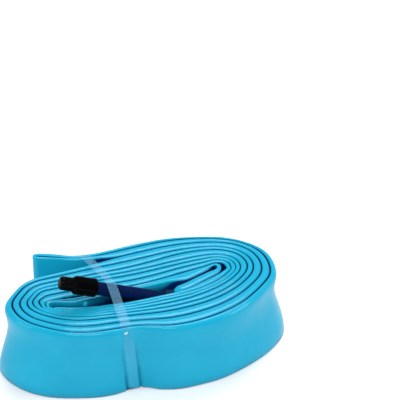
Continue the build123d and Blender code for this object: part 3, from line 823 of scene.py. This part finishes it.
NAVY_DULL, NAVY_DULL_PALE = (0.001, 0.012, 0.045), (0.0015, 0.018, 0.06)
NAVY, NAVY_PALE = (0.0006, 0.006, 0.042), (0.001, 0.010, 0.058)
BLACK, BLACK_PALE = (0.0006, 0.0007, 0.0008), (0.0012, 0.0013, 0.0014)
RUBBER, RUBBER_PALE = (0.012, 0.012, 0.013), (0.02, 0.02, 0.021)
FINISHES = {
    "valve_foot": moulded("foot_plastic", NAVY_DULL, NAVY_DULL_PALE, 0.5, gloss=0.06),
    "valve_stem": moulded("stem_plastic", NAVY, NAVY_PALE, 0.26, gloss=0.03, coat=0.05),
    "dust_cap": moulded("cap_plastic", BLACK, BLACK_PALE, 0.3, gloss=0.02, coat=0.05),
    "core_body": moulded("core_brass", (0.60, 0.44, 0.20), (0.72, 0.56, 0.28), 0.28, metal=1.0),
    "core_pin": moulded("pin_brass", (0.62, 0.48, 0.24), (0.74, 0.60, 0.34), 0.24, metal=1.0),
    "lock_nut": moulded("nut_brass", (0.62, 0.46, 0.22), (0.76, 0.60, 0.32), 0.26, metal=1.0),
    "core_seal": moulded("seal_rubber", RUBBER, RUBBER_PALE, 0.6, 1500.0, 0.2),
    "pin_seal": moulded("seat_rubber", RUBBER, RUBBER_PALE, 0.6, 1500.0, 0.2),
}
for node, material in FINISHES.items():
    solid = bpy.data.objects[node]
    solid.data.materials.clear()
    solid.data.materials.append(material)
print("finished nodes", list(FINISHES))

# %% [markdown]
# ## The strap
# A band of clear film is drawn round the roll and over the stem, and its two ends are lapped in
# front and welded at one spot. A simulation would let it find its own way, but taut film only runs
# straight from one thing that it touches to the next, so its loop is drawn from tangents. It is a
# grid: its long way follows the loop, starting at the outer end of the lap, and its short way
# crosses the band. Each column has its own loop, because the stem rises under the band. Solidify
# gives the film its thickness.

# %% Loop of the strap
STEM_ROOT, CAP_TIP = Vector((5.35, -8.45, 30.0)), Vector((-38.7, -4.4, 45.7))
STEM_RADIUS, STEM_CLEAR = 3.0, 0.35
STRAP_FRONT, STRAP_BACK, STRAP_TOP, STRAP_FOOT = -31.75, 31.95, 33.15, 0.5
LAP_INNER = 3.2
along_strap = Vector((0, 1, 0))
up_strap = Vector((-sin(STRAP_TILT), 0, cos(STRAP_TILT)))
across_strap = Vector((cos(STRAP_TILT), 0, sin(STRAP_TILT)))
strap_origin = Vector((STRAP_X + FLAT_WIDTH * tan(STRAP_TILT), 0, 0))


def strap_corners(across):
    """corners of the loop at a place across the band, in the leaning plane of the strap, with
    the place of its inner end and how far it passes from the middle of the stem"""
    origin = strap_origin + across_strap * across
    stem = (CAP_TIP - STEM_ROOT).normalized()
    along_stem = (origin - STEM_ROOT).dot(across_strap) / stem.dot(across_strap)
    crossing = STEM_ROOT + stem * along_stem - origin
    cy, ch = crossing.dot(along_strap), crossing.dot(up_strap)
    reach = STEM_RADIUS / abs(stem.dot(across_strap)) + STEM_CLEAR
    slopes = []
    for y in (STRAP_FRONT, STRAP_BACK):
        to_stem = atan2(ch - STRAP_TOP, abs(cy - y))
        slopes.append(tan(to_stem + asin(reach / hypot(cy - y, ch - STRAP_TOP))))
    peak = STRAP_FRONT + (STRAP_BACK - STRAP_FRONT) * slopes[1] / (slopes[0] + slopes[1])
    inner_end = (STRAP_FRONT + LAP_INNER, STRAP_TOP + LAP_INNER * slopes[0])
    corners = [(STRAP_FRONT, STRAP_TOP), (peak, STRAP_TOP + (peak - STRAP_FRONT) * slopes[0]),
               (STRAP_BACK, STRAP_TOP), (STRAP_BACK, STRAP_FOOT),
               (STRAP_FRONT, STRAP_FOOT), (STRAP_FRONT, STRAP_TOP)]
    return corners, inner_end, reach


print("strap over the stem", [round(v, 2) for v in strap_corners(0.0)[0][1]])

# %% Rounding the corners of the loop
CORNER_STEPS = 8


def rounded(corners, radii, start, end):
    """points from start round the corners to end, each corner an arc of its radius"""
    stops = [start] + corners + [end]
    points = [start]
    for before, corner, after, radius in zip(stops, stops[1:], stops[2:], radii):
        u = Vector((before[0] - corner[0], before[1] - corner[1])).normalized()
        v = Vector((after[0] - corner[0], after[1] - corner[1])).normalized()
        half_angle = u.angle(v) / 2
        setback, middle = radius / tan(half_angle), (u + v).normalized()
        centre = Vector(corner) + middle * (radius / sin(half_angle))
        first, last = Vector(corner) + u * setback, Vector(corner) + v * setback
        a, b = first - centre, last - centre
        sweep = a.angle(b)
        for s in range(CORNER_STEPS + 1):
            f = s / CORNER_STEPS
            arm = (a * sin((1 - f) * sweep) + b * sin(f * sweep)) / sin(sweep)
            points.append(tuple(centre + arm))
    return points + [end]


print("points at a corner", len(rounded([(1, 0)], [0.2], (0, 0), (1, 1))) - 2)

# %% Lap and stem
FILM, CORNER, LAP = 0.15, 1.6, 9.0
LAP_CLEAR, LAP_SETTLE, LAP_FADE = 0.05, 0.5, 4.0  # the outer end of the lap lies on the inner one
STEM_Y, STRAP_SHIFT, SHIFT_BLEND = -6.4, 1.8, 8  # the rising stem pushes the film sideways


def lapped(y, z, run):
    """a point of the loop, moved out by the film that it lies on, while it is in the lap"""
    outside = 1 - clamp((run - LAP - LAP_SETTLE) / LAP_FADE)
    if z < STRAP_TOP:
        y -= (FILM + LAP_CLEAR) * outside
    if z >= STRAP_TOP - CORNER:
        z += (FILM + LAP_CLEAR) * outside
    return y, z


def pushed(y):
    """how far the film is pushed sideways: most at the stem, and nothing at the two sides"""
    front = max(0.0, (y - STRAP_FRONT) / (STEM_Y - STRAP_FRONT))
    rear = max(0.0, (STRAP_BACK - y) / (STRAP_BACK - STEM_Y))
    return STRAP_SHIFT * -log(exp(-SHIFT_BLEND * front) + exp(-SHIFT_BLEND * rear)) / SHIFT_BLEND


print("film moved out in the lap", round(STRAP_FRONT - lapped(STRAP_FRONT, 0.0, 0.0)[0], 2), "mm")

# %% Strap film
STRAP_STEPS, STRAP_COLUMNS = 220, 6
STRAP_WIDTH, STEM_BEND, LAP_LOW = 4.3, 0.4, 26.65

columns = []
for c in range(STRAP_COLUMNS + 1):
    across = STRAP_WIDTH * (c / STRAP_COLUMNS - 0.5)
    corners, inner_end, reach = strap_corners(across)
    radii = [CORNER, reach + STEM_BEND, CORNER, CORNER, CORNER, CORNER]
    loop = rounded(corners, radii, (STRAP_FRONT, LAP_LOW), inner_end)
    length = reaches(loop)[-1]
    column = []
    for s, spot in enumerate(even(loop, STRAP_STEPS) + loop[-1:]):
        y, z = lapped(*spot, length * s / STRAP_STEPS)
        point = strap_origin + across_strap * across + along_strap * y + up_strap * z
        if z > STRAP_TOP - CORNER:
            point.x += pushed(y)
        column.append(point * MM)
    columns.append(column)

bm = bmesh.new()
bmesh.ops.create_grid(bm, x_segments=STRAP_STEPS, y_segments=STRAP_COLUMNS, size=1.0)
strap_map = bm.loops.layers.uv.new("strap")
for vert in bm.verts:
    s, c = round((vert.co.x + 1) / 2 * STRAP_STEPS), round((vert.co.y + 1) / 2 * STRAP_COLUMNS)
    vert.co = columns[c][s]
    for corner in vert.link_loops:
        corner[strap_map].uv = (s / STRAP_STEPS * length * MM, c / STRAP_COLUMNS)
for face in bm.faces:
    face.smooth = True
band = placed_object("strap_band", bm)
thick = band.modifiers.new("film", "SOLIDIFY")
thick.thickness, thick.offset = FILM * MM, 0.0
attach(band, "roll")
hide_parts("strap")
print("strap film", round(length, 1), "mm long")

# %% [markdown]
# ## Clear film
# The strap is stretched film, milky where it is single and almost clear where the lap was heated.
# A glass shader would bend the gaps seen through it, which such thin film doesn't do, so it is
# plain plastic with very little alpha. Its rims are painted lighter and milkier than its middle, a
# painted highlight for the light they catch, and stretching has left fine streaks across it. The
# strap's own map gives the metres along it and the share across it, so every change of the milk
# has its place on the film.

# %% Clear film
RIM_START, RIM_END = 0.40, 0.49
LAP_MILK, LAP_BLEND, OUTER_BLEND = 0.05, 0.2, 0.3
# clearer from the foot of the back wall on, under the roll, and milkier again up the front wall
UNDER_START, UNDER_END, UNDER_MILK = 0.10, 0.11, 0.2
FRONT_START, FRONT_END, FRONT_MILK = 32.0, 15.0, 0.35
STREAK_FAINT, STREAK_STRONG = 0.25, 0.75
STRAP_GLOSSY, STRAP_DULL = 0.16, 0.34
# the extra rim milk and the paler rim tint are a painted highlight along the strap's edges
MILK_LOW, MILK_HIGH, RIM_HIGHLIGHT_MILK, LEAST_MILK = 0.07, 0.115, 0.05, 0.018
FILM_TINT, RIM_HIGHLIGHT_TINT = (0.24, 0.60, 0.92), (0.40, 0.74, 0.96)

clear, tree, shader = node_material("clear_film")
shader.inputs["Specular IOR Level"].default_value = 0.3
own_map, stretch = stretched(tree, "strap", (900.0, 3.0, 1.0))
parts = link(tree, "ShaderNodeSeparateXYZ")
tree.links.new(own_map, parts.inputs[0])
run, width_share = parts.outputs[0], parts.outputs[1]
streaks = noise(tree, stretch, Scale=1.0, Detail=4.0)

from_middle = sums(tree, "ABSOLUTE", sums(tree, "SUBTRACT", width_share, 0.5), 0.0)
# painted highlight: the rims are made lighter and milkier than the middle
rim_highlight = smooth_step(tree, from_middle, RIM_START, RIM_END, 0.0, 1.0)
outer_end = smooth_step(tree, run, (LAP - OUTER_BLEND) * MM, (LAP + LAP_BLEND) * MM, LAP_MILK, 1.0)
lap_back = length - LAP
inner_end = smooth_step(tree, run, (lap_back - LAP_BLEND) * MM, (lap_back + LAP_BLEND) * MM,
                        1.0, LAP_MILK)
under = smooth_step(tree, run, UNDER_START, UNDER_END, 1.0, UNDER_MILK)
front = smooth_step(tree, run, (length - FRONT_START) * MM, (length - FRONT_END) * MM,
                    0.0, FRONT_MILK)
lap = sums(tree, "MULTIPLY", outer_end, inner_end)
single = sums(tree, "MULTIPLY", lap, sums(tree, "ADD", under, front))
streaky = smooth_step(tree, streaks, STREAK_FAINT, STREAK_STRONG, MILK_LOW, MILK_HIGH)
milk = sums(tree, "MULTIPLY", single, streaky)
rim_highlight_milk = sums(tree, "MULTIPLY", sums(tree, "MULTIPLY", rim_highlight, single), RIM_HIGHLIGHT_MILK)
milk = sums(tree, "ADD", sums(tree, "ADD", milk, rim_highlight_milk), LEAST_MILK)
tree.links.new(milk, shader.inputs["Alpha"])
blend_colours(tree, rim_highlight, FILM_TINT, RIM_HIGHLIGHT_TINT, shader.inputs["Base Color"])
span(tree, streaks, STRAP_GLOSSY, STRAP_DULL, shader.inputs["Roughness"])
surface = bump(tree, streaks, strength=0.15, height=GRAIN_HEIGHT)
tree.links.new(surface, shader.inputs["Normal"])
band.data.materials.append(clear)
print("clear film nodes", len(tree.nodes))

# %% [markdown]
# ## Weld and flash
# The weld is a shallow lens where a hot tip closed the lap. The flash is a nib of film left on an
# inner strand. A squashed sphere would do for either from far off, but both have a rim and an
# uneven top, so they are turned from a short profile and then pressed into shape.

# %% Weld and flash
TURNED_STEPS, SEAM_REACH = 24, 1e-4
WELD_PROFILE = [(0, -0.1), (0.95, -0.1), (1.0, 0.0), (0.9, 0.16), (0.6, 0.27), (0.3, 0.24),
                (0, 0.2)]
NIB_PROFILE = [(0, -1.4), (0.8, -1.3), (1.05, -0.4), (0.95, 0.4), (0.6, 1.0), (0, 1.25)]
WELD_ASIDE, WELD_HEIGHT, WELD_PROUD = 0.8, 31.8, 0.22
WELD_SQUASH, NIB_SQUASH = (0.95, 0.6, 1.0), (1.0, 0.8, 1.0)
WELD_LEAN, WELD_SPIN, NIB_LEAN = radians(72), radians(20), radians(12)
NIB_PLACE = Vector((-27.7, -6.0, 32.7))


def turned(name, profile, squash, place, turn):
    """a small form spun from a profile of (radius, height), scaled, turned and put in its place"""
    bm = bmesh.new()
    verts = [bm.verts.new((r, 0, z)) for r, z in profile]
    edges = [bm.edges.new(pair) for pair in zip(verts, verts[1:])]
    bmesh.ops.spin(bm, geom=verts + edges, cent=(0, 0, 0), axis=(0, 0, 1), angle=2 * pi,
                   steps=TURNED_STEPS, use_merge=True)
    bmesh.ops.remove_doubles(bm, verts=bm.verts, dist=SEAM_REACH)
    bmesh.ops.recalc_face_normals(bm, faces=bm.faces)
    bmesh.ops.scale(bm, vec=squash, verts=bm.verts)
    into_place = Matrix.Scale(MM, 4) @ Matrix.Translation(place) @ turn
    bmesh.ops.transform(bm, matrix=into_place, verts=bm.verts)
    for face in bm.faces:
        face.smooth = True
    piece = placed_object(name, bm)
    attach(piece, "roll")
    return piece


weld_place = strap_origin - across_strap * WELD_ASIDE + up_strap * WELD_HEIGHT
weld_place += along_strap * (STRAP_FRONT - WELD_PROUD)
weld_turn = Matrix.Rotation(WELD_LEAN, 4, "X") @ Matrix.Rotation(WELD_SPIN, 4, "Z")
weld = turned("strap_weld", WELD_PROFILE, WELD_SQUASH, weld_place, weld_turn)
nib_turn = Matrix.Rotation(NIB_LEAN, 4, "Y")
nib = turned("film_nib", NIB_PROFILE, NIB_SQUASH, NIB_PLACE, nib_turn)
nib.data.materials.append(film)
print("small forms", weld.name, nib.name)

# %% Finish of the weld, and its painted highlight
# the lens shape and its gloss are real; its pale, fairly opaque tint is a painted highlight, the
# glint painted in
WELD_TINT, WELD_GLINT_WHITE = (0.40, 0.82, 0.95), (0.62, 0.95, 1.0)

weld_glint_film, tree, shader = node_material("weld_glint_film")
shader.inputs["Roughness"].default_value = 0.08
shader.inputs["Alpha"].default_value = 0.55
own_place = link(tree, "ShaderNodeTexCoord").outputs["Object"]
specks = noise(tree, own_place, Scale=900.0, Detail=3.0)
blend_colours(tree, specks, WELD_TINT, WELD_GLINT_WHITE, shader.inputs["Base Color"])
weld.data.materials.append(weld_glint_film)
print("weld nodes", len(tree.nodes))
